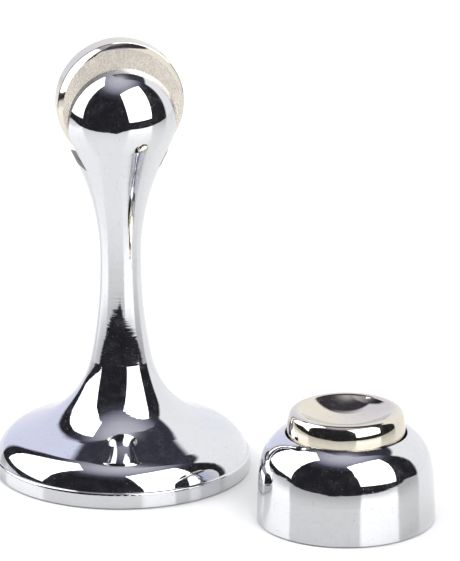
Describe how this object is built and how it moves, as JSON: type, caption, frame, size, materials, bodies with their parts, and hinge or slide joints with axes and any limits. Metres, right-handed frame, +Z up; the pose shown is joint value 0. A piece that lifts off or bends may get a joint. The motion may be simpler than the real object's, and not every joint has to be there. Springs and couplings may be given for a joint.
{
  "type": "floor door holder",
  "caption": "Chromed floor pillar with a magnetic disc on its head, and a round catch for the door whose sprung, dished knob the disc holds.",
  "frame": {"origin": "centre of the pillar's underside, on the floor, which is the centre of its floor screws' circle", "axes": "+Z up along the pillar, +Y the way the magnetic disc faces, +X along the disc's width; the catch stands on the floor at +X -Y"},
  "size_m": [0.0771, 0.0749, 0.0833],
  "materials": {
    "chrome": "bright chrome plate on cast zinc",
    "nickel": "bright nickel plate with a slightly warm tone; the disc's flat back is finely brushed",
    "zinc_steel": "zinc plated pressed steel",
    "black_steel": "black oxide steel",
    "magnet": "sintered magnet, matt dark grey",
    "brass": "turned brass",
    "acetal": "moulded acetal, natural white",
    "spring_steel": "drawn spring wire"
  },
  "bodies": {
    "floor_plate": {"floor_plate": "zinc_steel"},
    "pillar": {"pillar": "chrome", "base_set_screw": "black_steel", "head_washer": "zinc_steel", "head_screw": "zinc_steel"},
    "magnet_head": {"magnet_pot": "nickel", "ring_magnet": "magnet", "spacer_ring": "brass", "core_bush": "brass", "face_plate": "nickel"},
    "catch": {"catch_housing": "chrome", "catch_plate": "zinc_steel", "catch_hub": "zinc_steel", "guide_bush": "acetal", "catch_set_screw": "black_steel", "keeper_spring": "spring_steel"},
    "plunger": {"spring_washer": "zinc_steel"},
    "keeper": {"knob": "nickel", "stem": "zinc_steel", "retaining_clip": "spring_steel"}
  },
  "joints": [
    {"name": "base_turn", "type": "hinge", "parent": "floor_plate", "child": "pillar", "pos_m": [0, 0, 0], "axis": [0, 0, 1], "continuous": true},
    {"name": "head_spin", "type": "hinge", "parent": "pillar", "child": "magnet_head", "pos_m": [0, -0.004, 0.07154], "axis": [0, 1, 0], "continuous": true},
    {"name": "catch_lift", "type": "slide", "parent": "floor_plate", "child": "catch", "axis": [0, 0, 1], "range_m": [0, 0.05]},
    {"name": "keeper_plunge", "type": "slide", "parent": "catch", "child": "plunger", "axis": [0, 0, 1], "range_m": [-0.003, 0], "stiffness_N_per_m": 400, "springref_m": 0.006, "deforming": ["keeper_spring"]},
    {"name": "keeper_spin", "type": "hinge", "parent": "plunger", "child": "keeper", "pos_m": [0.0366, -0.0344, 0], "axis": [0, 0, 1], "continuous": true}
  ]
}
